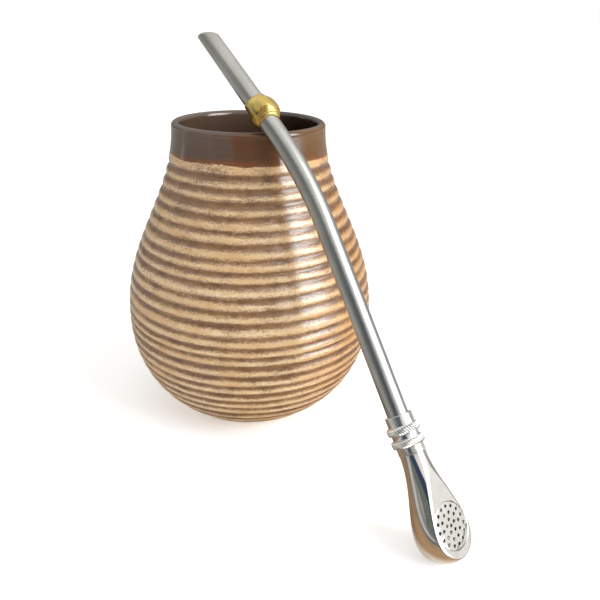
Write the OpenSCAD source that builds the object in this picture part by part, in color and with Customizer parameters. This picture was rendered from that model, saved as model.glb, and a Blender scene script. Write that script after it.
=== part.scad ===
// Ceramic mate gourd with a metal drinking straw leaning on its lip.
// The gourd stands on its flat foot, with the origin at the centre of that foot.
// The straw's filter head stands on the same table and its tube rests on the lip.

/* [Gourd] */
// Height from the foot to the top of the lip
body_height = 111.4; // [92:0.2:134]
// Radius at the widest part of the belly
belly_radius = 47; // [39:0.5:57]
// Height of the widest part above the foot
belly_height = 40.2; // [33:0.2:49]
// Radius of the flat foot
foot_radius = 24; // [20:0.5:29]
// Outside radius of the neck at the lip
rim_radius = 27.4; // [23:0.1:33]
// Wall thickness at the lip, which ends in a full round
lip_wall = 3; // [2.4:0.1:3.8]
// Wall thickness at the belly
belly_wall = 4.2; // [3.4:0.1:5.2]
// Thickness of the floor
floor_wall = 5; // [4:0.1:6.2]
// Radius of the flat part of the inside floor
floor_radius = 20; // [16:0.5:24]
// Rounding of the foot's edge
foot_round = 1.2; // [0.8:0.1:2]

/* [Turned ridges] */
// Depth of the grooves between the ridges
groove_depth = 0.9; // [0.5:0.05:1.1]
// Distance from the top of the lip to the first groove
groove_start = 14.3; // [12:0.1:17]
// Spacing of the grooves above the belly
upper_pitch = 4.1; // [3.4:0.05:5]
// Spacing of the grooves below the belly
lower_pitch = 3.87; // [3.2:0.05:4.7]
// Height of the plain strip above the foot
foot_plain = 3.4; // [2.5:0.1:4.5]

/* [Straw tube] */
// Outside diameter of the tube
tube_diameter = 6.6; // [5.5:0.1:8]
// Wall thickness of the tube
tube_wall = 0.6; // [0.5:0.05:0.8]
// Straight length between the collar and the bend
lower_length = 61.6; // [52:0.2:74]
// Angle of the bend below the lip
bend_angle = 14.6; // [8:0.2:18]
// Radius of the bend, to the tube's centre line
bend_radius = 138; // [100:1:166]
// Length from the lip to the mouth end, along the centre line
upper_length = 37.4; // [31:0.2:45]
// Slant of the mouth end
mouth_slant = 30; // [0:1:40]

/* [Leaning] */
// Bearing of the place on the lip where the tube rests
lip_bearing = -74.6; // [-90:0.2:-60]
// Compass heading of the straw, from its foot to the lip
lean_heading = 125.2; // [110:0.2:140]
// Turn of the straw's bend about its own length
straw_turn = 65.2; // [40:0.2:90]
// Clearance between the tube and the lip
rest_gap = 0.12; // [0.05:0.01:0.3]

/* [Lip ring] */
// Length of the brass ring's thin sleeve
sleeve_length = 8.8; // [7.3:0.1:10.6]
// Wall thickness of the sleeve
sleeve_wall = 0.45; // [0.35:0.01:0.6]
// Clearance between the sleeve and the tube
sleeve_clearance = 0.1; // [0.08:0.01:0.15]
// Height of the sleeve's lower end above the lip, along the tube
sleeve_rise = 2.6; // [2.1:0.1:3.2]
// Length of the bead round the sleeve
bead_length = 7.8; // [6.5:0.1:8.6]
// Distance that the bead's widest corners stand out from the sleeve
bead_swell = 1.25; // [1:0.05:1.6]
// Distance that the bead's ends stand out from the sleeve
bead_edge = 0.3; // [0.2:0.05:0.6]
// Number of flats round the bead
bead_flats = 6; // [5:1:8]
// Sideways shift of the bead on its sleeve
bead_shift = 0.4; // [0:0.05:0.5]
// Slant of the bead's upper end
bead_slant = 14; // [8:1:18]

/* [Knurled collar] */
// Wall thickness of the collar's plain parts
collar_wall = 0.85; // [0.7:0.05:1.1]
// Height of the knurled bands above the plain parts
knurl_rise = 0.9; // [0.7:0.05:1.2]
// Length of one knurled band
knurl_length = 2.4; // [1.9:0.1:3]
// Number of teeth round a band
knurl_teeth = 36; // [24:2:44]
// Depth of the teeth
knurl_depth = 0.4; // [0.3:0.05:0.5]
// Plain length above the upper band
collar_top = 3.2; // [2.4:0.1:4]
// Plain length between the bands
collar_gap = 1.5; // [1.2:0.1:2]
// Plain length below the lower band
collar_foot = 2.35; // [1.8:0.05:3]
// Clearance between the collar and the tube inside it
collar_clearance = 0.05; // [0.03:0.01:0.1]

/* [Filter head] */
// Radius of the round bulb
bulb_radius = 8.65; // [7.2:0.05:10.4]
// Length from the bulb's centre to the top of the neck
neck_length = 24.4; // [20.2:0.1:29.4]
// Step from the collar in to the neck below it
neck_step = 0.15; // [0.1:0.01:0.25]
// Distance of the flat face from the straw's centre line
face_offset = 4.26; // [3.5:0.02:5.2]
// Direction in which the flat face looks, about the straw's length
face_heading = 121.2; // [90:0.2:150]
// Wall thickness round the filter chamber
chamber_wall = 1.5; // [1.2:0.1:1.8]

/* [Filter disc] */
// Width of the flat face left beside the perforated disc
disc_margin = 0.63; // [0.5:0.01:0.8]
// Thickness of the disc
disc_thickness = 0.8; // [0.6:0.05:1]
// Depth of the disc's front below the flat face
disc_recess = 0.15; // [0:0.05:0.3]
// Clearance round the disc in its seat
disc_clearance = 0.06; // [0.04:0.01:0.1]
// Height of the disc's centre above the bulb's centre
disc_rise = 1.8; // [1.4:0.1:2.2]
// Width of the ledge that the disc sits on
disc_ledge = 0.7; // [0.5:0.1:0.9]
// Diameter of one hole
hole_diameter = 0.95; // [0.75:0.05:1.15]
// Distance from the outer holes' centres to the chamber's wall
hole_edge = 0.65; // [0.6:0.05:0.8]
// Number of rings of holes round the middle one
hole_rings = 3; // [1:1:3]

/* [Hidden] */
$fn = 96;

// Past a cut's own faces, so that it leaves no skin
overcut = 1;

lip_round = lip_wall / 2;
rim_inside = rim_radius - lip_wall;
belly_inside = belly_radius - belly_wall;
// Height at which the neck turns straight
neck_start = body_height - 1.2;
// Fullness of the belly, where 2 is a plain ellipse
belly_fullness = 2.2;
// Above 1 the shoulder keeps its width for longer
shoulder_fullness = 1.08;
// How far round the foot's edge turns before the wall takes over
foot_turn = 70;
// Steps along each curve
foot_steps = 5;
groove_steps = 6;
band_steps = 6;
lip_steps = 12;
inside_steps = 40;

// Height of an ellipse-like curve that has a radius of edge at the given drop below the belly
function belly_reach(drop, edge, belly) =
    drop / pow(1 - pow(edge / belly, 2), 1 / belly_fullness);

// Radius of a gourd-shaped outline: a swollen belly below, an easy S-curve up to the neck
function gourd_radius(z, belly, neck, reach) =
    z < belly_height
        ? belly * sqrt(max(0, 1 - pow((belly_height - z) / reach, belly_fullness)))
        : neck + (belly - neck) * (1 + cos(180 * shoulder_share(z))) / 2;

function shoulder_share(z) =
    pow(min(1, (z - belly_height) / (neck_start - belly_height)), shoulder_fullness);

outer_reach = belly_reach(belly_height, foot_radius, belly_radius);
inner_reach = belly_reach(belly_height - floor_wall, floor_radius, belly_inside);

function outer_radius(z) = gourd_radius(z, belly_radius, rim_radius, outer_reach);
function inner_radius(z) = gourd_radius(z, belly_inside, rim_inside, inner_reach);

// The grooves run down from the neck, and change to the closer spacing at the belly
groove_top = body_height - groove_start;
upper_count = round((groove_top - belly_height) / upper_pitch);
groove_turn = groove_top - upper_count * upper_pitch;
lower_count = floor((groove_turn - foot_plain) / lower_pitch);
lowest_groove = groove_turn - lower_count * lower_pitch;

// Depth cut into the wall at a share of the way from one groove to the next
function groove_cut(share) = groove_depth * pow((1 + cos(360 * share)) / 2, 1.5);

function groove_points(low, pitch, ridges) = [
    for (i = [0 : ridges * groove_steps - 1])
        let (z = low + pitch * i / groove_steps)
            [outer_radius(z) - groove_cut(i / groove_steps), z]
];

// Points of a plain wall from one height up or down to another
function outer_points(from, to, steps) = [
    for (i = [0 : steps - 1]) let (z = from + (to - from) * i / steps) [outer_radius(z), z]
];

function inner_points(from, to, steps) = [
    for (i = [1 : steps]) let (z = from + (to - from) * i / steps) [inner_radius(z), z]
];

function arc_points(centre, radius, from, to, steps) = [
    for (i = [0 : steps])
        let (angle = from + (to - from) * i / steps)
            centre + radius * [cos(angle), sin(angle)]
];

// Straw frame: the bulb's centre at its origin and the lower tube along +Z,
// with the bend turning the upper tube towards +X
collar_length = collar_top + 2 * knurl_length + collar_gap + collar_foot;
tube_radius = tube_diameter / 2;
bore_radius = tube_radius - tube_wall;
collar_radius = tube_radius + collar_clearance + collar_wall;
neck_radius = collar_radius - neck_step;
// Below 1 the bulb starts to draw in sooner
neck_draw = 0.87;
bead_steps = 6;
knurl_steps = 3;
bulb_steps = 14;
neck_steps = 24;
bend_start = neck_length + collar_length + lower_length;
rest_point = [bend_radius * (1 - cos(bend_angle)), 0, bend_start + bend_radius * sin(bend_angle)];
chord = norm(rest_point);
chord_tilt = atan2(rest_point.x, rest_point.z);
upper_direction = [sin(bend_angle), 0, cos(bend_angle)];
// Bending leaves the tube a hair fatter
bend_swell = 0.02;
bend_joint = 0.5;

function turn_z(v, a) = [v.x * cos(a) - v.y * sin(a), v.x * sin(a) + v.y * cos(a), v.z];
function turn_y(v, a) = [v.x * cos(a) + v.z * sin(a), v.y, v.z * cos(a) - v.x * sin(a)];
function leaned(v, lean) =
    turn_z(turn_y(turn_z(turn_y(v, -chord_tilt), straw_turn), 90 - lean), lean_heading);

// The tube lies on the lip, in a direction square to both
rim_tangent = [-sin(lip_bearing), cos(lip_bearing), 0];
function rest_direction(lean) =
    let (v = cross(leaned(upper_direction, lean), rim_tangent))
        v / norm(v) * sign(v.z);

lip_height = body_height - lip_round;
lip_centre = turn_z([rim_radius - lip_round, 0, lip_height], lip_bearing);
function rest_place(lean) =
    lip_centre + rest_direction(lean) * (lip_round + tube_radius + rest_gap);

// Lean at which the bulb just touches the table, found by trying the last answer again
function settled_lean(lean, tries) =
    tries == 0
        ? lean
        : settled_lean(asin((rest_place(lean).z - bulb_radius) / chord), tries - 1);

first_lean = 52;
lean_tries = 10;
straw_lean = settled_lean(first_lean, lean_tries);
bulb_centre = rest_place(straw_lean) - leaned(rest_point, straw_lean);

// Bearing round the upper tube of the bead's thick side and the mouth's low side
low_side = 167;

module straw_frame() {
    translate(bulb_centre)
        rotate([0, 90 - straw_lean, lean_heading])
            rotate([0, 0, straw_turn])
                rotate([0, -chord_tilt, 0])
                    children();
}

// The upper tube's own frame: origin where it rests on the lip, +Z towards the mouth
module upper_frame() {
    straw_frame()
        translate(rest_point)
            rotate([0, bend_angle, 0])
                children();
}

// Stoneware cup, turned with ridges, with a smooth glazed band at the neck
module gourd() {
    ridge_end = groove_top + upper_pitch / 2;
    color([0.72, 0.56, 0.40])
        rotate_extrude()
            polygon(concat(
                [[0, 0]],
                arc_points([foot_radius - foot_round, foot_round], foot_round, -90, foot_turn - 90, foot_steps),
                groove_points(lowest_groove, lower_pitch, lower_count),
                groove_points(groove_turn, upper_pitch, upper_count + 1 / 2),
                outer_points(ridge_end, neck_start, band_steps),
                arc_points([rim_radius - lip_round, lip_height], lip_round, 0, 180, lip_steps),
                inner_points(lip_height, floor_wall, inside_steps),
                [[0, floor_wall]]
            ));
}

// Rod along the tube's centre line, whose straight ends reach a little way into the bend
module bent_rod(radius, below, above) {
    translate([0, 0, neck_length - below])
        cylinder(h = bend_start - neck_length + below + bend_joint, r = radius);
    translate([bend_radius, 0, bend_start])
        rotate([90, 0, 180])
            rotate_extrude(angle = bend_angle)
                translate([bend_radius, 0])
                    circle(r = radius + bend_swell);
    translate(rest_point)
        rotate([0, bend_angle, 0])
            translate([0, 0, -bend_joint])
                cylinder(h = upper_length + above + bend_joint, r = radius);
}

// Bent tube, open at both ends, with a slanted mouth
module straw_tube() {
    slant_room = 2 * tube_diameter;
    color([0.70, 0.70, 0.68])
        difference() {
            straw_frame()
                difference() {
                    bent_rod(tube_radius, 0, tube_radius);
                    bent_rod(bore_radius, overcut, tube_radius + overcut);
                }
            upper_frame()
                translate([0, 0, upper_length])
                    rotate([0, 0, low_side])
                        rotate([0, mouth_slant, 0])
                            translate([-slant_room, -slant_room, 0])
                                cube([2 * slant_room, 2 * slant_room, slant_room]);
        }
}

// Brass ring: a thin sleeve round the tube and a flat-sided bead that is thicker on one side
module lip_ring() {
    sleeve_bore = tube_radius + sleeve_clearance;
    sleeve_radius = sleeve_bore + sleeve_wall;
    bead_radius = sleeve_radius + bead_swell;
    cut_size = 4 * bead_radius;
    color([0.80, 0.62, 0.28])
        upper_frame()
            translate([0, 0, sleeve_rise])
                rotate([0, 0, low_side])
                    difference() {
                        union() {
                            cylinder(h = sleeve_length, r = sleeve_radius);
                            difference() {
                                translate([bead_shift, 0, 0])
                                    intersection() {
                                        cylinder(h = bead_length, r = bead_radius, $fn = bead_flats);
                                        barrel(bead_length, sleeve_radius + bead_edge, bead_radius, bead_steps);
                                    }
                                translate([bead_radius, 0, bead_length])
                                    rotate([0, -bead_slant, 0])
                                        translate([-cut_size, -cut_size / 2, 0])
                                            cube(cut_size);
                            }
                        }
                        translate([0, 0, -overcut])
                            cylinder(h = sleeve_length + 2 * overcut, r = sleeve_bore);
                    }
}

// Round body that swells from its ends to its middle along one circular arc
module barrel(height, end, middle, steps) {
    swell = middle - end;
    arc_radius = (height * height / 4 + swell * swell) / (2 * swell);
    half = asin(height / 2 / arc_radius);
    rotate_extrude()
        polygon(concat(
            [[0, 0]],
            arc_points([middle - arc_radius, height / 2], arc_radius, -half, half, steps),
            [[0, height]]
        ));
}

module knurled_band() {
    tooth = 360 / knurl_teeth;
    outside = collar_radius + knurl_rise;
    intersection() {
        linear_extrude(knurl_length)
            polygon([
                for (i = [0 : 2 * knurl_teeth - 1])
                    let (radius = i % 2 == 0 ? outside : outside - knurl_depth)
                        radius * [cos(i * tooth / 2), sin(i * tooth / 2)]
            ]);
        barrel(knurl_length, outside - knurl_depth, outside, knurl_steps);
    }
}

// Collar that holds the filter head on the tube
module knurled_collar() {
    lower_band = neck_length + collar_foot;
    upper_band = lower_band + knurl_length + collar_gap;
    color([0.78, 0.78, 0.78])
        straw_frame()
            difference() {
                union() {
                    translate([0, 0, neck_length])
                        cylinder(h = collar_length, r = collar_radius);
                    translate([0, 0, lower_band])
                        knurled_band();
                    translate([0, 0, upper_band])
                        knurled_band();
                }
                translate([0, 0, neck_length - overcut])
                    cylinder(h = collar_length + 2 * overcut, r = tube_radius + collar_clearance);
            }
}

// Outline of the head: a ball that draws in smoothly to the neck
function head_radius(z) =
    neck_radius + (bulb_radius - neck_radius) * (1 + cos(180 * pow(z / neck_length, neck_draw))) / 2;

// Frame of the flat face: +X square out of it, +Z up the straw
module face_frame() {
    straw_frame()
        rotate([0, 0, face_heading])
            children();
}

disc_back = face_offset - disc_recess - disc_thickness;
// The disc leaves a margin of the flat face, which is as wide as the cut through the bulb
disc_radius = sqrt(bulb_radius * bulb_radius - face_offset * face_offset) - disc_margin;
chamber_radius = disc_radius - disc_ledge;
hole_spacing = (chamber_radius - hole_edge) / hole_rings;

// Spoon-like head with a flat face, a seat for the disc and a chamber behind it
module filter_head() {
    chamber_depth = sqrt(pow(bulb_radius - chamber_wall, 2) - pow(chamber_radius, 2));
    cut_size = 2 * (neck_length + bulb_radius);
    color([0.82, 0.82, 0.82])
        face_frame()
            difference() {
                rotate_extrude()
                    polygon(concat(
                        arc_points([0, 0], bulb_radius, -90, 0, bulb_steps),
                        [for (i = [1 : neck_steps]) let (z = neck_length * i / neck_steps) [head_radius(z), z]],
                        [[0, neck_length]]
                    ));
                translate([face_offset, -cut_size / 2, -cut_size / 2])
                    cube([cut_size, cut_size, cut_size]);
                translate([disc_back, 0, disc_rise])
                    rotate([0, 90, 0])
                        cylinder(h = cut_size, r = disc_radius + disc_clearance);
                translate([-chamber_depth, 0, disc_rise])
                    rotate([0, 90, 0])
                        cylinder(h = cut_size, r = chamber_radius);
                translate([0, 0, disc_rise])
                    cylinder(h = neck_length, r = bore_radius);
            }
}

// Thin disc, pierced by rings of holes round a middle one
module filter_disc() {
    color([0.86, 0.86, 0.86])
        face_frame()
            translate([disc_back, 0, disc_rise])
                rotate([0, 90, 0])
                    difference() {
                        cylinder(h = disc_thickness, r = disc_radius);
                        for (ring = [0 : hole_rings])
                            for (i = [1 : max(1, 5 * ring)])
                                rotate([0, 0, i * 360 / max(1, 5 * ring)])
                                    translate([ring * hole_spacing, 0, -overcut])
                                        cylinder(h = disc_thickness + 2 * overcut, d = hole_diameter);
                    }
}

gourd();
straw_tube();
lip_ring();
knurled_collar();
filter_head();
filter_disc();
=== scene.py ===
import bpy
import bmesh
import random
from math import asin, atan2, cos, degrees, pi, radians, sin, sqrt, tan
from mathutils import Matrix, Vector


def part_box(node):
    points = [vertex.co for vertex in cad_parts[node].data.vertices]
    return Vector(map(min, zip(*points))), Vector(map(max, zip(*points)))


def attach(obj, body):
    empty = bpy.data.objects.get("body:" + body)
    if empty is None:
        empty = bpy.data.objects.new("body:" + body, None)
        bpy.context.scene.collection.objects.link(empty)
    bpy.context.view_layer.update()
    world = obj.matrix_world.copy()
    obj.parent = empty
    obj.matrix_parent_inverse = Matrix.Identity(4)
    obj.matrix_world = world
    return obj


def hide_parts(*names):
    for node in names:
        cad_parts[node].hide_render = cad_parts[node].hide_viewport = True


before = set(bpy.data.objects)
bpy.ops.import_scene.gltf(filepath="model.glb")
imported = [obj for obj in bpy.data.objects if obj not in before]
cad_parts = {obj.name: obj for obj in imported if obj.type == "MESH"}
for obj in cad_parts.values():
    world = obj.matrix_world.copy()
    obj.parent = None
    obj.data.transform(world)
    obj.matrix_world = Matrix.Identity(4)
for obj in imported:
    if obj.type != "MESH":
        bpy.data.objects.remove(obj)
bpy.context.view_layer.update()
mm = 0.001
print("frame loaded")

studio = {
    "cameraAt": (0, -240, 147.62),        # mm, from the middle of the gourd's foot
    "lookDown": 23.85,                    # degrees
    "lookRight": 4.67,
    "roll": 1.2,
    "lens": 39.355,
    "floorRadius": 14,                    # m
    "floorColour": (0.92, 0.92, 0.915, 1),
    "floorGrain": 0.985,                  # its darker grain, as a share of that colour
    "floorGlow": 0.30,
    # painted reflection: the table top as glossy surfaces mirror it, from right under the filter outwards,
    # painted lighter close in and darker on the unlit side
    "floorTouch": (0.95, 0.86, 0.74, 1),
    "floorNear": (0.33, 0.205, 0.11, 1),
    "floorFar": (0.42, 0.41, 0.40, 1),
    "floorDark": (0.10, 0.095, 0.09, 1),  # far off, on the unlit side
    "floorUnder": (0.006, 0.017),         # m, where touch gives way to near
    "floorReach": (0.015, 0.11),          # m, where near gives way to far
    "backdrop": 1.0,
    "softLight": 0.85,                    # even light that falls on everything
    # the room as glossy surfaces mirror it
    "walls": 0.24,
    "wallColour": (1.0, 0.97, 0.92, 1),
    "overhead": 0.85,
    "overheadFrom": (0.0, 0.74),          # where walls give way to the ceiling, as heights of a unit ray
    "darkSide": 172,                      # bearing of the unlit part of the room, clockwise from +Y
    "darkWidth": (0.80, 0.93),            # where the room's light falls away, as cosines from that bearing
    "darkLight": 0.13,
    "darkColour": (1.0, 0.98, 0.88, 1),
}


def bearingVector(bearing, height=0.0):
    angle = radians(bearing)
    return Vector((sin(angle), cos(angle), height))


def addCamera(values):
    down, turn, roll = (radians(values[k]) for k in ("lookDown", "lookRight", "roll"))
    forward = Vector((sin(turn) * cos(down), cos(turn) * cos(down), -sin(down)))
    across = Vector((cos(turn), -sin(turn), 0))
    upward = across.cross(forward)
    xAxis = across * cos(roll) + upward * sin(roll)
    yAxis = upward * cos(roll) - across * sin(roll)
    pose = Matrix((xAxis, yAxis, -forward)).transposed().to_4x4()
    pose.translation = Vector(values["cameraAt"]) * mm
    data = bpy.data.cameras.new("camera")
    data.lens = values["lens"]
    data.sensor_width = 36
    data.clip_start = 0.01
    camera = bpy.data.objects.new("camera", data)
    camera.matrix_world = pose
    bpy.context.collection.objects.link(camera)
    bpy.context.scene.camera = camera


# soft lights; strength is how bright the panel itself looks

panels = {
    "window": {"bearing": 122, "height": 0.42, "distance": 0.8, "size": (0.53, 0.80), "strength": 7.2,
               "colour": (0.91, 0.955, 1.0)},
    "sideCard": {"bearing": 104, "height": 0.10, "distance": 0.46, "size": (0.16, 0.17), "strength": 0.56,
                 "colour": (1.0, 0.98, 0.93)},
    "leftStrip": {"bearing": 288, "height": 0.25, "distance": 0.8, "size": (0.03, 0.45), "strength": 2.0,
                  "colour": (1, 1, 1)},
}
panelAim = Vector((0, 0, 0.07))


def addPanel(name, values):
    place = bearingVector(values["bearing"]) * values["distance"] + Vector((0, 0, values["height"]))
    width, height = values["size"]
    data = bpy.data.lights.new(name, "AREA")
    data.shape = "RECTANGLE"
    data.size, data.size_y = width, height
    data.energy = values["strength"] * pi * width * height
    data.color = values["colour"]
    panel = bpy.data.objects.new(name, data)
    panel.location = place
    panel.rotation_euler = (panelAim - place).to_track_quat("-Z", "Y").to_euler()
    panel.visible_camera = False
    bpy.context.collection.objects.link(panel)


class Wire:
    # one output of a node; sums written with it become Math nodes
    def __init__(self, board, socket):
        self.board = board
        self.socket = socket

    def maths(self, operation, *values):
        return self.board.node("ShaderNodeMath", {"operation": operation}, dict(enumerate(values)))

    def __add__(self, other):
        return self.maths("ADD", self, other)

    def __radd__(self, other):
        return self.maths("ADD", other, self)

    def __sub__(self, other):
        return self.maths("SUBTRACT", self, other)

    def __rsub__(self, other):
        return self.maths("SUBTRACT", other, self)

    def __mul__(self, other):
        return self.maths("MULTIPLY", self, other)

    def __rmul__(self, other):
        return self.maths("MULTIPLY", other, self)

    def ramp(self, low, high, first=0.0, last=1.0):
        # eases from first to last as this goes from low to high
        return self.board.node("ShaderNodeMapRange", {"interpolation_type": "SMOOTHSTEP"},
                               {"Value": self, "From Min": low, "From Max": high,
                                "To Min": first, "To Max": last})


class Board:
    # a node tree, with one method that adds any node
    def __init__(self, tree):
        self.tree = tree

    def node(self, kind, settings=None, sockets=None, out=0):
        made = self.tree.nodes.new(kind)
        for key, value in (settings or {}).items():
            setattr(made, key, value)
        for key, value in (sockets or {}).items():
            if isinstance(value, Wire):
                self.tree.links.new(value.socket, made.inputs[key])
            else:
                made.inputs[key].default_value = value
        return Wire(self, made.outputs[out]) if made.outputs else None

    def mix(self, share, first, second, blend="MIX"):
        return self.node("ShaderNodeMix", {"data_type": "RGBA", "blend_type": blend},
                         {"Factor": share, 6: first, 7: second}, out=2)

    def objectPlace(self, stretch=(1, 1, 1)):
        # where a point lies on the object, in mm, stretched along each axis
        place = self.node("ShaderNodeTexCoord", out=3)
        return self.node("ShaderNodeVectorMath", {"operation": "MULTIPLY"},
                         {0: place, 1: [1000 * s for s in stretch]})

    def axis(self, place, which):
        return self.node("ShaderNodeSeparateXYZ", None, {0: place}, out=which)

    def noise(self, place, size, detail=3.0, roughness=0.55, seed=0.0):
        # soft noise from 0 to 1 whose lumps are about that many mm across
        return self.node("ShaderNodeTexNoise", {"noise_dimensions": "4D"},
                         {"Vector": place, "W": seed, "Scale": 1 / size,
                          "Detail": detail, "Roughness": roughness})

    def layer(self, name):
        # a number stored on the mesh's points
        return self.node("ShaderNodeAttribute", {"attribute_name": name}, out=2)


def newMaterial(name, fixed):
    material = bpy.data.materials.new(name)
    material.use_nodes = True
    board = Board(material.node_tree)
    shader = board.tree.nodes["Principled BSDF"]
    for key, value in fixed.items():
        shader.inputs[key].default_value = value
    return material, board, shader


def plug(board, shader, **wires):
    for key, wire in wires.items():
        board.tree.links.new(wire.socket, shader.inputs[key.replace("_", " ")])


def bumpFrom(board, height, distance, strength=1.0):
    return board.node("ShaderNodeBump", None,
                      {"Strength": strength, "Distance": distance * mm, "Height": height})


def srgb(red, green, blue):
    # a screen colour of 0 to 255 as the linear colour that shaders use
    parts = [v / 255 for v in (red, green, blue)]
    return [p / 12.92 if p <= 0.04045 else ((p + 0.055) / 1.055) ** 2.4 for p in parts] + [1]


def lightRoom(values):
    scene = bpy.context.scene
    scene.view_settings.view_transform = "Standard"
    world = bpy.data.worlds.new("studio")
    scene.world = world
    world.use_nodes = True
    room = Board(world.node_tree)
    world.node_tree.nodes.clear()
    towards = room.node("ShaderNodeTexCoord", out=0)
    facing = room.node("ShaderNodeVectorMath", {"operation": "DOT_PRODUCT"},
                       {0: towards, 1: bearingVector(values["darkSide"])}, out=1)
    high = room.axis(towards, 2).ramp(*values["overheadFrom"])
    mirrored = facing.ramp(*values["darkWidth"], values["walls"], values["darkLight"])
    mirrored = mirrored * (1 - high) + values["overhead"] * high
    seen = room.node("ShaderNodeLightPath", out=0)
    glossy = room.node("ShaderNodeLightPath", out=3)
    amount = mirrored * glossy + values["softLight"] * (1 - glossy)
    amount = amount * (1 - seen) + values["backdrop"] * seen
    shaded = facing.ramp(*values["darkWidth"])
    tint = room.mix(shaded * (1 - high), values["wallColour"], values["darkColour"])
    tint = room.mix(glossy, (1, 1, 1, 1), tint)
    glow = room.node("ShaderNodeBackground", None, {"Color": tint, "Strength": amount})
    room.node("ShaderNodeOutputWorld", None, {"Surface": glow})


def layFloor(values):
    mesh = bpy.data.meshes.new("floor")
    shape = bmesh.new()
    bmesh.ops.create_circle(shape, cap_ends=True, segments=96, radius=values["floorRadius"])
    shape.to_mesh(mesh)
    shape.free()
    floor = bpy.data.objects.new("floor", mesh)
    bpy.context.collection.objects.link(floor)
    material, board, shader = newMaterial("pale_table", {"Roughness": 0.7, "Specular IOR Level": 0.1,
                                                         "Emission Strength": values["floorGlow"]})
    grain = board.noise(board.objectPlace(), 4.0)
    tint = board.mix(grain, values["floorColour"], [c * values["floorGrain"] for c in values["floorColour"]])
    place = board.node("ShaderNodeTexCoord", out=3)
    middle = (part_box("filter_head")[0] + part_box("filter_head")[1]) / 2
    away = board.node("ShaderNodeVectorMath", {"operation": "DISTANCE"},
                      {0: place, 1: (middle.x, middle.y, 0)}, out=1)
    outward = board.node("ShaderNodeVectorMath", {"operation": "NORMALIZE"}, {0: place})
    facing = board.node("ShaderNodeVectorMath", {"operation": "DOT_PRODUCT"},
                        {0: outward, 1: bearingVector(values["darkSide"])}, out=1)
    # painted reflection: what glossy rays see of the floor, with painted shade on the unlit side and painted
    # light close under the filter
    mirrored = board.mix(facing.ramp(*values["darkWidth"]), values["floorFar"], values["floorDark"])
    mirrored = board.mix(away.ramp(*values["floorReach"]), values["floorNear"], mirrored)
    mirrored = board.mix(away.ramp(*values["floorUnder"]), values["floorTouch"], mirrored)
    glossy = board.node("ShaderNodeLightPath", out=3)
    tint = board.mix(glossy, tint, mirrored)
    lift = board.mix(glossy, (1, 1, 1, 1), (0, 0, 0, 1))
    plug(board, shader, Base_Color=tint, Emission_Color=lift)
    mesh.materials.append(material)


# painted reflection: a dark card by the camera that only glossy surfaces see, so polished parts mirror a dark
# patch

darkCard = {
    "at": (-0.1225, -0.285, 0.165),       # m
    "faces": (0.02, 0, 0.06),
    "size": (0.305, 0.27),
    "blue": (0.022, 0.03, 0.058, 1),
    "grey": (0.115, 0.125, 0.105, 1),     # its left part
    "change": (-2, 10),                   # mm from its middle, where grey gives way to blue
    "fade": 1.6,                          # how much paler the blue gets in blotches of its noise
}


def addCard(values):
    width, height = values["size"]
    mesh = bpy.data.meshes.new("dark_card")
    corners = [(x * width / 2, y * height / 2, 0) for x, y in ((-1, -1), (1, -1), (1, 1), (-1, 1))]
    mesh.from_pydata(corners, [], [(0, 1, 2, 3)])
    card = bpy.data.objects.new("dark_card", mesh)
    card.location = values["at"]
    towards = Vector(values["faces"]) - card.location
    card.rotation_euler = towards.to_track_quat("-Z", "Y").to_euler()
    bpy.context.collection.objects.link(card)
    card.visible_camera = card.visible_diffuse = card.visible_shadow = False
    material, board, shader = newMaterial("dark_card", {"Roughness": 1.0, "Specular IOR Level": 0})
    # painted reflection: the card's blue, paler in blotches, with its grey left part
    paleBlotches = board.noise(board.objectPlace(), 6)
    tint = board.mix(paleBlotches, values["blue"], [c * values["fade"] for c in values["blue"]])
    tint = board.mix(board.axis(board.objectPlace(), 0).ramp(*values["change"], 1, 0), tint, values["grey"])
    plug(board, shader, Base_Color=tint)
    mesh.materials.append(material)


addCamera(studio)
lightRoom(studio)
layFloor(studio)
addCard(darkCard)
for panelName, panelValues in panels.items():
    addPanel(panelName, panelValues)
print("camera, floor and lights set")


def newPiece(name, points, faces, material, sharpAngle=None):
    mesh = bpy.data.meshes.new(name)
    mesh.from_pydata(points, [], faces)
    mesh.validate()
    piece = bpy.data.objects.new(name, mesh)
    bpy.context.collection.objects.link(piece)
    mesh.materials.append(material)
    smoothFaces(mesh, sharpAngle)
    return piece


def smoothFaces(mesh, sharpAngle=None):
    shape = bmesh.new()
    shape.from_mesh(mesh)
    bmesh.ops.remove_doubles(shape, verts=shape.verts, dist=1e-7)
    bmesh.ops.recalc_face_normals(shape, faces=shape.faces)
    for face in shape.faces:
        face.smooth = True
    if sharpAngle:
        for edge in shape.edges:
            if len(edge.link_faces) == 2 and edge.calc_face_angle(0) > radians(sharpAngle):
                edge.smooth = False
    shape.to_mesh(mesh)
    shape.free()


def gridFaces(rows, columns, closed=True):
    # faces of a grid of points, row by row, that meets itself sideways when closed
    faces = []
    for i in range(rows - 1):
        for j in range(columns if closed else columns - 1):
            k = (j + 1) % columns
            faces.append((i * columns + j, i * columns + k, (i + 1) * columns + k, (i + 1) * columns + j))
    return faces


def closingFaces(rows, columns):
    # joins the last row of such a grid to its first
    last = (rows - 1) * columns
    return [(last + j, last + (j + 1) % columns, (j + 1) % columns, j) for j in range(columns)]


def endFaces(rows, columns):
    # a flat cap on the first row of such a grid and one on its last
    return [tuple(range(columns)), tuple(range((rows - 1) * columns, rows * columns))]


# the gourd: a cup turned by hand, glazed over an iron wash that is wiped off the ridges

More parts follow.
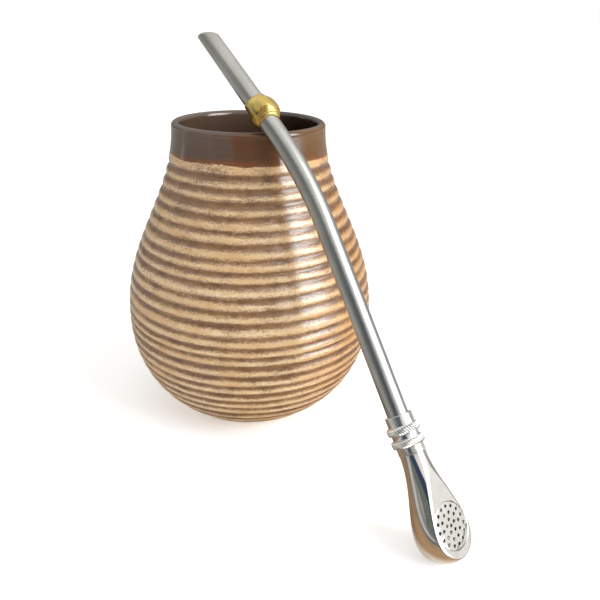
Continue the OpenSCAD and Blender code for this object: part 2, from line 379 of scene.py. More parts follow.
gourd = {
    "height": 111.4,
    "bellyRadius": 47.0,
    "bellyHeight": 40.2,
    "footRadius": 24.0,
    "rimRadius": 27.4,
    "lipWall": 3.0,
    "bellyWall": 4.2,
    "floorWall": 5.0,
    "floorRadius": 20.0,
    "footRound": 1.2,
    "footTurn": 70,           # degrees of the round between foot and wall
    "wallFrom": 1.6,          # height where the wall's rows start
    "neckBelow": 1.2,
    "bellyFullness": 2.2,
    "shoulderFullness": 1.08,
    "firstGroove": 14.3,      # below the top of the lip
    # the hand never moves quite evenly from one groove to the next
    "grooveSteps": (4.1, 4.3, 4.2, 4.3, 4.1, 4.4, 3.7, 3.6, 4.2, 4.0, 4.5, 4.5, 3.9, 3.2, 3.7,
                    4.2, 4.3, 3.6, 3.6, 4.0, 4.0, 3.9, 3.9),
    "grooveDepth": 0.56,
    "grooveShape": 1.35,      # above 1 makes the grooves narrower than the ridges
    "depthSpread": (0.85, 1.12),
    "wander": 0.16,           # how far a groove drifts up and down, mm
    "wanderSpread": (0.5, 1.0),
    "wanderWaves": (1, 2, 5),
    "fadeAbove": 2.4,         # the lowest groove fades out towards the foot
    "fadeOver": 2.5,
    "swell": 0.035,           # how far the wall is out of round
    "swellWaves": (2, 3, 5),
    "swellTwist": 0.05,       # radians for each mm of height
    "shyBy": 0.06,            # keeps the uneven wall inside its outline
    "insideFrom": 0.9,        # in from the rim's edge, where the inside's colour starts
    "around": 300,
    "rowStep": 0.44,
    "footRows": 6,
    "lipRows": 16,
    "insideRows": 46,
    "bandBottom": 10.5,       # lower edge of the dark band, below the lip
}


def gourdOutline(values):
    # the outside and the inside radius, each worked out from a height
    neckStart = values["height"] - values["neckBelow"]

    def reachOf(drop, edge, belly):
        return drop / (1 - (edge / belly) ** 2) ** (1 / values["bellyFullness"])

    def radiusAt(z, belly, neck, reach):
        if z < values["bellyHeight"]:
            low = (values["bellyHeight"] - z) / reach
            return belly * sqrt(max(0.0, 1 - low ** values["bellyFullness"]))
        share = min(1.0, (z - values["bellyHeight"]) / (neckStart - values["bellyHeight"]))
        return neck + (belly - neck) * (1 + cos(pi * share ** values["shoulderFullness"])) / 2

    insideBelly = values["bellyRadius"] - values["bellyWall"]
    outer = reachOf(values["bellyHeight"], values["footRadius"], values["bellyRadius"])
    inner = reachOf(values["bellyHeight"] - values["floorWall"], values["floorRadius"], insideBelly)
    return (lambda z: radiusAt(z, values["bellyRadius"], values["rimRadius"], outer),
            lambda z: radiusAt(z, insideBelly, values["rimRadius"] - values["lipWall"], inner))


def makeGourd(values, material):
    chance = random.Random(7)
    outside, inside = gourdOutline(values)
    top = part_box("gourd")[1].z / mm
    grooves = [top - values["firstGroove"]]
    for step in values["grooveSteps"]:
        grooves.append(grooves[-1] - step)
    grooves.reverse()
    waves = values["wanderWaves"]
    drift = [[(chance.uniform(0, 2 * pi), chance.uniform(*values["wanderSpread"])) for _ in waves]
             for _ in grooves]
    deepness = [chance.uniform(*values["depthSpread"]) for _ in grooves]
    swells = [(chance.uniform(0, 2 * pi), n) for n in values["swellWaves"]]
    lipRound = values["lipWall"] / 2

    def grooveHeight(k, angle):
        shift = sum(amount * sin(n * angle + phase) / sqrt(n) for n, (phase, amount) in zip(waves, drift[k]))
        return grooves[k] + values["wander"] * shift

    def grooveShare(z, angle):
        # how deep in a groove this height lies, from 0 on a ridge to 1, and which groove is nearest
        heights = [grooveHeight(k, angle) for k in range(len(grooves))]
        below = max((k for k, height in enumerate(heights) if height <= z), default=-1)
        if below < 0:
            low, high, first, second = heights[0] - values["grooveSteps"][-1], heights[0], 0, 0
        elif below == len(grooves) - 1:
            low, high, first, second = heights[-1], heights[-1] + values["grooveSteps"][0], below, below
            if z > (low + high) / 2:
                return 0.0, below
        else:
            low, high, first, second = heights[below], heights[below + 1], below, below + 1
        share = (z - low) / (high - low)
        return (1 + cos(2 * pi * share)) / 2, first if share < 0.5 else second

    def insideShare(kind, radius):
        # the inside's colour comes in over the top of the lip
        if kind == "lip":
            return min(1.0, max(0.0, values["rimRadius"] - values["insideFrom"] - radius))
        return 1.0 if kind == "inside" else 0.0

    # rows of (radius, height, kind), up the outside, over the lip and down inside
    rows = [(0.0, 0.0, "foot"), (values["footRadius"] / 2, 0.0, "foot")]
    for i in range(values["footRows"] + 1):
        turn = radians(-90 + values["footTurn"] * i / values["footRows"])
        rows.append((values["footRadius"] - values["footRound"] * (1 - cos(turn)),
                     values["footRound"] * (1 + sin(turn)), "foot"))
    z = values["wallFrom"]
    while z < top - values["neckBelow"]:
        rows.append((outside(z), z, "wall"))
        z += values["rowStep"]
    for i in range(values["lipRows"] + 1):
        turn = pi * i / values["lipRows"]
        rows.append((values["rimRadius"] - lipRound + lipRound * cos(turn),
                     top - lipRound + lipRound * sin(turn), "lip"))
    for i in range(1, values["insideRows"] + 1):
        z = top - lipRound - (top - lipRound - values["floorWall"]) * i / values["insideRows"]
        rows.append((inside(z), z, "inside"))
    rows += [(values["floorRadius"] / 2, values["floorWall"], "inside"), (0.0, values["floorWall"], "inside")]

    count = values["around"]
    points, stain, ridge, inner = [], [], [], []
    for radius, z, kind in rows:
        for j in range(count):
            angle = 2 * pi * j / count
            depth, share, nearest, uneven = 0.0, 0.0, 0, 0.0
            if kind == "wall":
                share, nearest = grooveShare(z, angle)
                fade = min(1.0, max(0.0, (z - values["fadeAbove"]) / values["fadeOver"]))
                depth = values["grooveDepth"] * deepness[nearest] * share ** values["grooveShape"] * fade
                share *= fade
            if kind in ("wall", "inside") and radius > 1:
                uneven = sum(values["swell"] * sin(n * angle + phase + z * values["swellTwist"])
                             for phase, n in swells) - values["shyBy"]
            r = max(0.0, radius - depth + uneven)
            points.append((r * cos(angle) * mm, r * sin(angle) * mm, z * mm))
            stain.append(share)
            ridge.append(nearest * 0.37 % 1.0)      # a number of its own for each groove
            inner.append(insideShare(kind, radius))
    mesh = bpy.data.meshes.new("gourd_cup")
    mesh.from_pydata(points, [], gridFaces(len(rows), count))
    for name, amounts in (("stain", stain), ("ridge", ridge), ("inner", inner)):
        layer = mesh.attributes.new(name, "FLOAT", "POINT")
        layer.data.foreach_set("value", amounts)
    piece = bpy.data.objects.new("gourd_cup", mesh)
    bpy.context.collection.objects.link(piece)
    mesh.materials.append(material)
    smoothFaces(mesh)
    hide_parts("gourd")
    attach(piece, "root")


glaze = {
    "cream": srgb(198, 163, 120),
    "creamPale": srgb(216, 188, 150),
    "creamDeep": srgb(176, 130, 84),
    "wash": srgb(118, 81, 48),
    "washDark": srgb(84, 55, 32),
    "golden": (0.80, 0.62, 0.40, 1),
    "band": srgb(80, 66, 58),
    "bandRed": srgb(84, 54, 34),
    "bandKhaki": srgb(98, 68, 26),
    "bandEdge": srgb(120, 72, 40),
    "inside": srgb(82, 64, 52),
    # painted shade: the inside's darkest tone, down deep and on its right side
    "insideShade": srgb(24, 16, 13),
}


def glazeMaterial(colours, values):
    material, board, shader = newMaterial("turned_glaze", {"IOR": 1.75})
    place = board.objectPlace()
    height, sideways = board.axis(place, 2), board.axis(place, 0)
    grain = board.noise(board.objectPlace((1, 1, 1.7)), 0.8, 3, 0.75, seed=1)
    brush = board.noise(board.objectPlace((0.35, 0.35, 3)), 1.8, 3, 0.6, seed=2)
    cloud = board.noise(board.objectPlace((1, 1, 2)), 16, 3, 0.5, seed=3)
    patch = board.noise(board.objectPlace((1, 1, 1.4)), 5, 3, 0.6, seed=4)
    stain, inner = board.layer("stain"), board.layer("inner")
    # the wash stays in the grooves, with a broken dry-brushed edge, and lies wider near the neck
    level = stain + (grain - 0.5) * 1.9 + (brush - 0.5) * 0.9 + (cloud - 0.5) * 1.3
    level = level + height.ramp(62, 100) * 0.28 + (board.layer("ridge") - 0.5) * 0.3
    wash = level.ramp(-0.08, 1.0)
    crest = board.mix(cloud.ramp(0.35, 0.65), colours["cream"], colours["creamPale"])
    crest = board.mix((patch + (grain - 0.5) * 0.8).ramp(0.42, 0.8) * 0.6, crest, colours["creamDeep"])
    brown = board.mix(patch.ramp(0.35, 0.7), colours["wash"], colours["washDark"])
    brown = board.mix(grain.ramp(0.5, 0.75) * 0.4, brown, colours["creamDeep"])
    wall = board.mix(wash * 0.96, crest, brown)
    wall = board.mix(sideways.ramp(12, 40) * 0.9, wall, colours["golden"], "MULTIPLY")
    # the dark band round the neck has a wavering lower edge and is greyer on the left, where the grey is
    # partly a painted sheen, and redder in the middle
    top = values["height"]
    edge = height + (board.noise(board.objectPlace((1, 1, 0.3)), 7, 3, 0.5, seed=5) - 0.5) * 2.2
    edge = edge + (grain - 0.5) * 0.7
    band = edge.ramp(top - values["bandBottom"] - 0.25, top - values["bandBottom"] + 0.25)
    rim = edge.ramp(top - values["bandBottom"], top - values["bandBottom"] + 2.4)
    # left of x -7 to -4 mm the band keeps its grey, partly a painted sheen
    redder = (patch - 0.5) * 1.2 + sideways.ramp(-7, -4) * 0.7
    bandColour = board.mix(redder.ramp(0.2, 0.7), colours["band"], colours["bandRed"])
    bandColour = board.mix(sideways.ramp(8, 24) * 0.8, bandColour, colours["bandKhaki"])
    bandColour = board.mix((1 - rim) * 0.8, bandColour, colours["bandEdge"])
    streaks = (brush + (grain - 0.5) * 0.9).ramp(0.35, 0.7)
    bandColour = board.mix(streaks * 0.6, bandColour, colours["washDark"])
    bandColour = board.mix(grain.ramp(0.5, 0.8) * redder.ramp(0, 1) * 0.5, bandColour, colours["bandEdge"])
    outer = board.mix(band, wall, bandColour)
    # painted shade: the inside darkens deeper down and towards its right side
    hollow = board.mix(height.ramp(40, top, 1, 0), colours["inside"], colours["insideShade"])
    hollow = board.mix(sideways.ramp(4, 20), hollow, colours["insideShade"])
    hollow = board.mix(patch.ramp(0.45, 0.7) * 0.35, hollow, colours["bandRed"])
    colour = board.mix(inner, outer, hollow)
    turning = board.noise(board.objectPlace((0.08, 0.08, 1)), 0.55, 2, 0.6, seed=6)   # fine marks of the tool
    bump = bumpFrom(board, grain * 0.25 + turning * (1 - band * 0.85) * (1 - inner), 0.22, 0.8)
    roughness = (wash * (1 - band)).ramp(0, 1, 0.16, 0.23) + (grain - 0.5) * 0.05
    roughness = roughness - (band + inner).ramp(0, 1) * 0.07
    plug(board, shader, Base_Color=colour, Normal=bump, Roughness=roughness)
    return material


makeGourd(gourd, glazeMaterial(glaze, gourd))
print("gourd made")

# the straw's own line: it stands on its bulb and leans on the lip

straw = {
    "tubeRadius": 3.3,
    "tubeWall": 0.6,
    "mouthRadius": 2.95,
    "taperFrom": 8.0,         # above the rest point, where the tube starts to narrow
    "taperShape": 1.2,
    "bulbRadius": 8.65,
    "neckLength": 24.4,       # from the bulb's middle to the collar
    "collarLength": 11.85,
    "lowerLength": 61.6,      # from the collar to the bend
    "bendAngle": 14.6,
    "bendRadius": 138.0,
    "upperLength": 37.4,      # from the bend to the mouth
    "mouthSlant": 30.0,
    "mouthSide": 167.0,       # bearing of the mouth's lowest side, round the tube
    "slantOver": 9.0,         # the slant builds up over this length
    "edgeOutside": 0.45,      # rounding of the mouth's edge
    "edgeInside": 0.15,
    "edgeLength": (0.5, 0.25),
    "around": 96,
    "lineRows": (40, 30, 60), # along its lower part, its bend and its upper part
    "edgeRows": (6, 4),       # over the outer and the inner edge of the mouth
    "lipBearing": -74.6,      # where it rests on the lip, from +X
    "leanHeading": 125.2,
    "strawTurn": 65.2,        # about its own line
    "restGap": 0.12,
}


def turned(axis, degreesTurned):
    return Matrix.Rotation(radians(degreesTurned), 4, axis)


def settleStraw(values, cup):
    # finds where the straw comes to rest, as the frames of its lower and upper tube and the rest point
    bend = values["bendRadius"]
    rise = values["neckLength"] + values["collarLength"] + values["lowerLength"]
    angle = radians(values["bendAngle"])
    rest = Vector((bend * (1 - cos(angle)), 0, rise + bend * sin(angle)))
    tilt = atan2(rest.x, rest.z)
    upper = Vector((sin(angle), 0, cos(angle)))
    bearing = radians(values["lipBearing"])
    tangent = Vector((-sin(bearing), cos(bearing), 0))
    lipRound = cup["lipWall"] / 2
    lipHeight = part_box("gourd")[1].z / mm - lipRound
    lipMiddle = cup["rimRadius"] - lipRound
    lip = Vector((lipMiddle * cos(bearing), lipMiddle * sin(bearing), lipHeight))

    def leaned(lean):
        return (turned("Z", values["leanHeading"]) @ turned("Y", 90 - lean) @ turned("Z", values["strawTurn"])
                @ Matrix.Rotation(-tilt, 4, "Y"))

    lean = 52.0                     # a first guess, in degrees, that each round brings closer
    for _ in range(12):
        away = (leaned(lean) @ upper).cross(tangent).normalized()
        if away.z < 0:
            away = -away
        place = lip + away * (lipRound + values["tubeRadius"] + values["restGap"])
        lean = degrees(asin((place.z - values["bulbRadius"]) / rest.length))
    centre = place - leaned(lean) @ rest
    lower = Matrix.Translation(centre) @ leaned(lean)
    return lower, lower @ Matrix.Translation(rest) @ turned("Y", values["bendAngle"]), rest


lowerFrame, upperFrame, restPoint = settleStraw(straw, gourd)


def tubeLine(values):
    # (centre, direction, length past the bend) along the straw, in its own frame, from collar to mouth
    line = []
    start = values["neckLength"]
    end = start + values["collarLength"] + values["lowerLength"]
    bend = values["bendRadius"]
    lowRows, bendRows, highRows = values["lineRows"]
    for i in range(lowRows + 1):
        line.append((Vector((0, 0, start + (end - start) * i / lowRows)), 0.0, None))
    for i in range(1, bendRows + 1):
        a = radians(values["bendAngle"]) * i / bendRows
        line.append((Vector((bend * (1 - cos(a)), 0, end + bend * sin(a))), a, None))
    a = radians(values["bendAngle"])
    for i in range(1, highRows + 1):
        along = values["upperLength"] * i / highRows
        line.append((restPoint + Vector((sin(a), 0, cos(a))) * along, a, along))
    return line


def makeTube(values, material):
    line = tubeLine(values)
    count = values["around"]
    length = values["upperLength"]
    slope = -tan(radians(values["mouthSlant"]))

    def ringPoints(radius, centre, a, along):
        points = []
        direction = Matrix.Rotation(a, 3, "Y")
        for j in range(count):
            t = 2 * pi * j / count
            local = Vector((radius * cos(t), radius * sin(t), 0))
            if along is not None:
                ease = max(0.0, (along - (length - values["slantOver"])) / values["slantOver"])
                local.z = ease * slope * radius * cos(t - radians(values["mouthSide"]))
            points.append(lowerFrame @ (centre + direction @ local) * mm)
        return points

    def radiusAt(along):
        if along is None:
            return values["tubeRadius"]
        past = (along - values["taperFrom"]) / (length - values["taperFrom"])
        share = max(0.0, past) ** values["taperShape"]
        return values["tubeRadius"] + (values["mouthRadius"] - values["tubeRadius"]) * share

    # up the outside, over the edge of the mouth and back down the bore
    rows = [ringPoints(radiusAt(along), centre, a, along) for centre, a, along in line[:-1]]
    endCentre, a, along = line[-1]
    up = Vector((sin(a), 0, cos(a)))
    tip, outer, inner = radiusAt(along), values["edgeOutside"], values["edgeInside"]
    outerLength, innerLength = values["edgeLength"]
    outerRows, innerRows = values["edgeRows"]
    for i in range(outerRows + 1):
        turn = pi * i / outerRows * 0.5
        rows.append(ringPoints(tip - outer * (1 - cos(turn)),
                               endCentre - up * (outerLength - outerLength * sin(turn)), a, along))
    for i in range(1, innerRows + 1):
        turn = pi * i / innerRows * 0.5
        rows.append(ringPoints(tip - outer - inner * sin(turn),
                               endCentre - up * innerLength * (1 - cos(turn)), a, along))
    rows += [ringPoints(radiusAt(along) - values["tubeWall"], centre, a, along)
             for centre, a, along in reversed(line[:-1])]
    faces = gridFaces(len(rows), count) + closingFaces(len(rows), count)
    piece = newPiece("straw_pipe", [p for row in rows for p in row], faces, material, 40)
    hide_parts("straw_tube")
    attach(piece, "root")


steel = {
    "bright": (0.60, 0.60, 0.575, 1),
    "dull": (0.50, 0.50, 0.475, 1),
}


def steelMaterial(colours):
    material, board, shader = newMaterial("satin_steel", {"Metallic": 1.0, "Roughness": 0.2})
    brushed = board.noise(board.objectPlace(), 0.35, 2, 0.5, seed=11)
    haze = board.noise(board.objectPlace(), 9, 3, 0.55, seed=12)
    scuff = board.noise(board.objectPlace(), 1.5, 4, 0.65, seed=13)
    colour = board.mix(haze.ramp(0.35, 0.7), colours["bright"], colours["dull"])
    roughness = haze.ramp(0.3, 0.75, 0.28, 0.34) + (scuff - 0.5) * 0.05
    bump = bumpFrom(board, brushed, 0.004, 0.3)
    plug(board, shader, Base_Color=colour, Roughness=roughness, Normal=bump)
    return material


makeTube(straw, steelMaterial(steel))
print("tube made")

# the brass ring: a six-sided bead on a short sleeve, a loose fit on the tube

ring = {
    # radius of the bead at heights above the rest point, on four sides
    "highSide": ((2.9, 3.42), (3.45, 4.0), (4.3, 4.4), (5.3, 4.65), (6.65, 4.65), (7.35, 4.3), (8.0, 3.78),
                 (9.5, 3.7), (11.0, 3.66), (11.3, 3.5)),
    "front": ((3.5, 3.5), (4.1, 4.2), (4.7, 4.65), (5.3, 4.95), (6.6, 5.2), (8.4, 5.15), (9.8, 4.85),
              (10.6, 4.4), (11.1, 3.9), (11.3, 3.5)),
    "lowSide": ((1.95, 3.45), (2.3, 3.9), (3.5, 4.9), (4.4, 5.27), (5.8, 5.5), (7.4, 5.45), (8.75, 4.9),
                (9.8, 4.1), (10.6, 3.72), (11.3, 3.5)),
    "lowBearing": 167.0,
    "flats": 6,
    "flatTurn": 76.0,
    "apothem": 4.72,
    "flatShift": 0.4,         # the bead sits a little to the low side
    "flatSoft": 0.40,
    "bore": 3.42,
    "boreStart": 0.06,        # below the upper mouth, which rounds its edge
    "boreShort": 0.05,        # how much shorter the bore is than the ring
    "thinnest": 0.04,
    # height and depth of the lines turned round its lower end, which dip towards the low side
    "turnedLines": ((5.75, 0.34), (5.05, 0.16), (4.4, 0.16), (3.85, 0.12)),
    "lineWidth": 0.24,
    "lineDip": 1.3,
    "lineRise": 0.4,
    "around": 240,
    "lengthRows": 130,
    "boreRows": 12,
}


def readOutline(outline, share):
    # height and radius at a share of the way along a list of (height, radius)
    spot = share * (len(outline) - 1)
    i = min(int(spot), len(outline) - 2)
    part = spot - i
    return tuple(a + (b - a) * part for a, b in zip(outline[i], outline[i + 1]))


def smoothOutline(outline, share, reach=0.05):
    # the same, averaged over a short stretch away from the ends
    if share < reach or share > 1 - reach:
        return readOutline(outline, share)
    nearby = [readOutline(outline, share + reach * step) for step in (-1, -0.5, 0, 0.5, 1)]
    return tuple(sum(v) / len(nearby) for v in zip(*nearby))


def softMin(a, b, soft):
    # the smaller of two numbers, with the corner between them rounded
    gap = max(0.0, soft - abs(a - b)) / soft
    return min(a, b) - gap * gap * soft / 4


def makeRing(values, material):
    count, lengthRows, boreRows = values["around"], values["lengthRows"], values["boreRows"]
    rows = []
    for i in range(lengthRows + 1):
        row = []
        for j in range(count):
            a = 2 * pi * j / count
            side = a - radians(values["lowBearing"])
            low, high, middle = max(0.0, cos(side)) ** 2, max(0.0, -cos(side)) ** 2, sin(side) ** 2
            corners = [smoothOutline(values[k], i / lengthRows) for k in ("lowSide", "highSide", "front")]
            z, r = (sum(w * c[k] for w, c in zip((low, high, middle), corners)) for k in (0, 1))
            turn = (a - radians(values["flatTurn"]) + pi / values["flats"]) % (2 * pi / values["flats"])
            flat = values["apothem"] / cos(turn - pi / values["flats"]) + values["flatShift"] * cos(side)
            r = softMin(r, flat, values["flatSoft"])
            for line, depth in values["turnedLines"]:
                level = line - values["lineDip"] * low + values["lineRise"] * middle
                r -= depth * max(0.0, 1 - ((z - level) / values["lineWidth"]) ** 2)
            row.append((a, max(r, values["bore"] + values["thinnest"]), z))
        rows.append(row)
    top, bottom = rows[-1], rows[0]
    start, short = values["boreStart"], values["boreShort"]
    for i in range(boreRows + 1):
        rows.append([(a, values["bore"], zTop - start + (zLow + short - zTop) * i / boreRows)
                     for (a, _, zTop), (_, _, zLow) in zip(top, bottom)])
    points = [upperFrame @ Vector((r * cos(a), r * sin(a), z)) * mm for row in rows for a, r, z in row]
    faces = gridFaces(len(rows), count) + closingFaces(len(rows), count)
    piece = newPiece("brass_ring", points, faces, material, 35)
    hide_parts("lip_ring")
    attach(piece, "root")


brass = {
    "bright": (0.84, 0.64, 0.22, 1),
    "dull": (0.70, 0.50, 0.16, 1),
}


def brassMaterial(colours):
    material, board, shader = newMaterial("brass", {"Metallic": 1.0, "Roughness": 0.2})
    haze = board.noise(board.objectPlace(), 2.2, 3, 0.6, seed=21)
    scuff = board.noise(board.objectPlace(), 0.35, 3, 0.6, seed=22)
    colour = board.mix(haze.ramp(0.35, 0.7), colours["bright"], colours["dull"])
    roughness = haze.ramp(0.3, 0.75, 0.22, 0.30) + (scuff - 0.5) * 0.06
    bump = bumpFrom(board, scuff, 0.012, 0.25)
    plug(board, shader, Base_Color=colour, Roughness=roughness, Normal=bump)
    return material


makeRing(ring, brassMaterial(brass))
print("ring made")

# the collar that joins the tube to the filter, with two knurled bands

collar = {
    "bottom": straw["neckLength"],
    "radius": 4.2,
    "bore": 3.36,
    "footLength": 2.35,
    "knurlLength": 2.4,
    "gapLength": 1.5,
    "topLength": 3.2,
    "knurlRise": 0.9,
    "knurlTeeth": 36,
    "knurlDepth": 0.36,
    "knurlLean": 32.0,        # degrees off straight
    "knurlSharp": 1.5,
    "toothSteps": 10,         # points across one tooth
    "bandRows": 16,
    "bandSquare": 5,          # the higher, the squarer a band's section
    "knurlFull": 1.6,         # the higher, the nearer its edges the knurl is at full depth
    "fillet": ((0.28, 0.0), (0.10, 0.02)),  # how far before a band it starts to rise, and by how much
    "root": 0.06,             # how proud of the collar a band's first row is
    "edge": 0.22,
    "boreEdge": 0.1,
}


def makeCollar(values, material):
    columns = values["knurlTeeth"] * values["toothSteps"]
    bottom, radius, edge = values["bottom"], values["radius"], values["edge"]
    bore, boreEdge = values["bore"], values["boreEdge"]
    crest = radius + values["knurlRise"]
    lowBand = bottom + values["footLength"]
    highBand = lowBand + values["knurlLength"] + values["gapLength"]
    top = highBand + values["knurlLength"] + values["topLength"]
    rows = []                   # (height, radius, how much knurl)

    def roundStep(z0, r0, z1, r1, steps=4):
        for i in range(steps + 1):
            turn = pi / 2 * i / steps
            rows.append((z0 + (z1 - z0) * (1 - cos(turn) if r1 > r0 else sin(turn)),
                         r0 + (r1 - r0) * (sin(turn) if r1 > r0 else 1 - cos(turn)), 0.0))

    roundStep(bottom, radius - edge, bottom + edge, radius)
    for start in (lowBand, highBand):
        end = start + values["knurlLength"]
        root = radius + values["root"]
        rows += [(start - before, radius + rise, 0.0) for before, rise in values["fillet"]]
        for i in range(values["bandRows"] + 1):
            share = i / values["bandRows"]
            crown = max(0.0, 1 - abs(2 * share - 1) ** values["bandSquare"])
            rows.append((start + values["knurlLength"] * share, root + (crest - root) * sqrt(crown),
                         min(1.0, crown * values["knurlFull"])))
        rows += [(end + after, radius + rise, 0.0) for after, rise in reversed(values["fillet"])]
    roundStep(top - edge, radius, top, radius - edge)
    rows += [(top, bore + boreEdge, 0.0), (top - boreEdge, bore, 0.0)]
    rows += [(bottom + boreEdge, bore, 0.0), (bottom, bore + boreEdge, 0.0)]
    points = []
    lean = tan(radians(values["knurlLean"])) / crest
    for z, r, share in rows:
        for j in range(columns):
            a = 2 * pi * j / columns
            wave = cos(values["knurlTeeth"] * (a + (z - bottom) * lean))
            cut = values["knurlDepth"] * share * (0.5 - 0.5 * wave) ** values["knurlSharp"]
            points.append(lowerFrame @ Vector(((r - cut) * cos(a), (r - cut) * sin(a), z)) * mm)
    faces = gridFaces(len(rows), columns) + closingFaces(len(rows), columns)
    piece = newPiece("knurled_joint", points, faces, material, 50)
    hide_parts("knurled_collar")
    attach(piece, "root")


# the filter head: a drop shape with one flat face, which holds a pierced disc

head = {
    "bulbRadius": straw["bulbRadius"],
    "neckRadius": 4.05,
    "neckLength": straw["neckLength"],
    "neckDraw": 0.87,
    "bulbRows": 56,
    "neckRows": 70,
    "columns": 288,
    "insideColumns": 96,
    "boreColumns": 48,
    "seatColumns": 192,
    "faceOffset": 4.26,
    "faceHeading": 121.2,
    "faceSoft": 0.42,         # rounding of the flat face's edge
    "wall": 1.5,
    "hollowTop": 18,          # rows of the neck that the hollow stops short of
    "hollowShy": 0.01,        # how far the hollow stays behind the seat
    "bore": 2.43,
    "boreFrom": 6,
    "seatRadius": 6.96,
    "seatBack": 3.31,
    "seatRise": 1.8,          # the disc's middle, above the bulb's
    "seatReach": 12,          # well past the face
    "ledge": 0.7,
    "chamberFrom": 0.5,
    "chamberPast": 0.3,       # how far the chamber cuts past the back of the seat
}

disc = {
    "radius": 6.9,
    "thickness": 0.8,
    "recess": 0.15,
    "edge": 0.30,
    "columns": 160,
    "edgeRows": 5,
    "middle": 0.02,           # radius of the tiny faces at its middle
    "holeRadius": 0.44,
    "holeFlare": 0.15,
    "holeColumns": 28,
    "drillPast": (0.5, 0.1),  # how far the drills stand out of its back and its front
    "spacing": 1.86,
    "rings": ((0, 1), (1, 5), (2, 10), (3, 15)),    # how many holes at how many spacings out
    "ringTurn": 0.35,         # radians from one ring to the next
}


def dropOutline(values, shrink=0.0):
    # (height, radius) from the bottom of the bulb to the top of the neck
    low, high = values["bulbRows"], values["neckRows"]
    ball, neck = values["bulbRadius"], values["neckRadius"]
    outline = []
    for i in range(low):
        turn = pi / 2 * i / low
        outline.append((-(ball - shrink) * cos(turn), (ball - shrink) * sin(turn)))
    for i in range(high + 1):
        swell = (1 + cos(pi * (i / high) ** values["neckDraw"])) / 2
        outline.append((values["neckLength"] * i / high, neck + (ball - neck) * swell - shrink))
    return outline


def spinDrop(outline, face, soft, columns):
    # turns the outline round z, cut flat at that distance along x
    points = []
    for z, r in outline[1:]:
        for j in range(columns):
            a = 2 * pi * j / columns
            reach = r
            if cos(a) > 0.02:           # only on the side of the face
                reach = softMin(r, face / cos(a), soft / cos(a)) if soft else min(r, face / cos(a))
            points.append(Vector((reach * cos(a), reach * sin(a), z)))
    faces = gridFaces(len(outline) - 1, columns)
    start, lowest, highest = (len(outline) - 2) * columns, len(points), len(points) + 1
    points += [Vector((0, 0, outline[0][0])), Vector((0, 0, outline[-1][0]))]
    faces += [(lowest, (j + 1) % columns, j) for j in range(columns)]
    faces += [(highest, start + j, start + (j + 1) % columns) for j in range(columns)]
    return points, faces


def cutterObject(name, points, faces):
    mesh = bpy.data.meshes.new(name)
    mesh.from_pydata([p * mm for p in points], [], faces)
    shape = bmesh.new()
    shape.from_mesh(mesh)
    bmesh.ops.recalc_face_normals(shape, faces=shape.faces)
    shape.to_mesh(mesh)
    shape.free()
    made = bpy.data.objects.new(name, mesh)
    bpy.context.collection.objects.link(made)
    return made


def rodPoints(start, end, radius, axis, centre, columns=96, chamfer=0.0, proud=0.0):
    # a rod along x or z; with a chamfer its far end widens at 45 degrees, to a little past the surface
    stations = [(start, radius), (end, radius)]
    if chamfer:
        stations = [(start, radius), (end - chamfer, radius), (end + proud, radius + chamfer + proud)]
    points = []
    for along, r in stations:
        for j in range(columns):
            a = 2 * pi * j / columns
            if axis == "x":
                points.append(Vector((along, centre[0] + r * cos(a), centre[1] + r * sin(a))))
            else:
                points.append(Vector((centre[0] + r * cos(a), centre[1] + r * sin(a), along)))
    return points, gridFaces(len(stations), columns) + endFaces(len(stations), columns)


def cutAway(piece, cutters):
    for cutter in cutters:
        change = piece.modifiers.new("cut", "BOOLEAN")
        change.operation = "DIFFERENCE"
        change.solver = "EXACT"
        change.object = cutter
    bpy.context.view_layer.update()
    ready = piece.evaluated_get(bpy.context.evaluated_depsgraph_get())
    mesh = bpy.data.meshes.new_from_object(ready)
    piece.modifiers.clear()
    piece.data = mesh
    for cutter in cutters:
        bpy.data.objects.remove(cutter)


def placeMesh(piece, pose, sharpAngle):
    # moves the points of a mesh made about its own origin to where the piece belongs
    move = Matrix.Scale(mm, 4) @ pose @ Matrix.Scale(1 / mm, 4)
    piece.data.transform(move)
    smoothFaces(piece.data, sharpAngle)


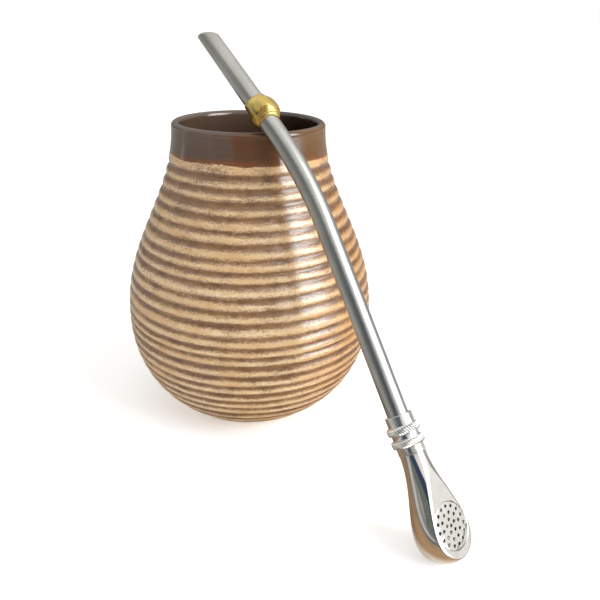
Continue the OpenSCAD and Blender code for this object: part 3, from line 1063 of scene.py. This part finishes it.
def makeHead(values, plate, material):
    rise, back, seatRadius = values["seatRise"], values["seatBack"], values["seatRadius"]
    faceFrame = lowerFrame @ turned("Z", values["faceHeading"])
    piece = cutterObject("filter_bulb", *spinDrop(dropOutline(values), values["faceOffset"],
                                                  values["faceSoft"], values["columns"]))
    inside = dropOutline(values, values["wall"])[:-values["hollowTop"]]
    hollow = cutterObject("hollow", *spinDrop(inside, back - values["hollowShy"], 0,
                                              values["insideColumns"]))
    bore = cutterObject("bore", *rodPoints(values["boreFrom"], values["neckLength"] + 1, values["bore"],
                                           "z", (0, 0), values["boreColumns"]))
    seat = cutterObject("seat", *rodPoints(back, values["seatReach"], seatRadius,
                                           "x", (0, rise), values["seatColumns"]))
    chamber = cutterObject("chamber", *rodPoints(values["chamberFrom"], back + values["chamberPast"],
                                                 seatRadius - values["ledge"],
                                                 "x", (0, rise), values["insideColumns"]))
    cutAway(piece, [hollow, bore, chamber, seat])
    piece.data.materials.append(material)
    placeMesh(piece, faceFrame, 32)
    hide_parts("filter_head")
    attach(piece, "root")

    front, radius, edge = values["faceOffset"] - plate["recess"], plate["radius"], plate["edge"]
    rear = front - plate["thickness"]
    middle, edgeRows = plate["middle"], plate["edgeRows"]
    stations = [(rear, middle), (rear, radius - edge), (rear + edge, radius), (front - edge, radius)]
    for i in range(1, edgeRows + 1):
        turn = pi / 2 * i / edgeRows
        stations.append((front - edge * (1 - sin(turn)), radius - edge * (1 - cos(turn))))
    stations.append((front, middle))
    columns = plate["columns"]
    points = []
    for along, r in stations:
        for j in range(columns):
            a = 2 * pi * j / columns
            points.append(Vector((along, r * cos(a), rise + r * sin(a))))
    faces = gridFaces(len(stations), columns) + endFaces(len(stations), columns)
    sieve = cutterObject("pierced_disc", points, faces)
    cutPoints, cutFaces = [], []
    behind, proud = plate["drillPast"]
    for level, count in plate["rings"]:
        out = level * plate["spacing"]
        for k in range(count):
            a = 2 * pi * k / count + level * plate["ringTurn"]
            drilled, sides = rodPoints(rear - behind, front, plate["holeRadius"], "x",
                                       (out * cos(a), rise + out * sin(a)), plate["holeColumns"],
                                       plate["holeFlare"], proud)
            cutFaces += [tuple(len(cutPoints) + i for i in side) for side in sides]
            cutPoints += drilled
    cutAway(sieve, [cutterObject("holes", cutPoints, cutFaces)])
    sieve.data.materials.append(material)
    placeMesh(sieve, faceFrame, 28)
    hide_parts("filter_disc")
    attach(sieve, "root")


chrome = {
    "bright": (0.93, 0.93, 0.91, 1),
    "dull": (0.84, 0.84, 0.82, 1),
}


def chromeMaterial(name, colours, dullness):
    material, board, shader = newMaterial(name, {"Metallic": 1.0})
    haze = board.noise(board.objectPlace(), 3.5, 3, 0.6, seed=31)
    scuff = board.noise(board.objectPlace(), 0.25, 4, 0.7, seed=32)
    colour = board.mix(haze.ramp(0.35, 0.7), colours["bright"], colours["dull"])
    roughness = haze.ramp(0.35, 0.75, dullness * 0.8, dullness * 1.4) + (scuff - 0.5) * dullness * 0.5
    bump = bumpFrom(board, scuff, 0.004, 0.2)
    plug(board, shader, Base_Color=colour, Roughness=roughness, Normal=bump)
    return material


makeCollar(collar, chromeMaterial("turned_steel", chrome, 0.23))
makeHead(head, disc, chromeMaterial("polished_steel", chrome, 0.055))
print("collar, head and disc made")
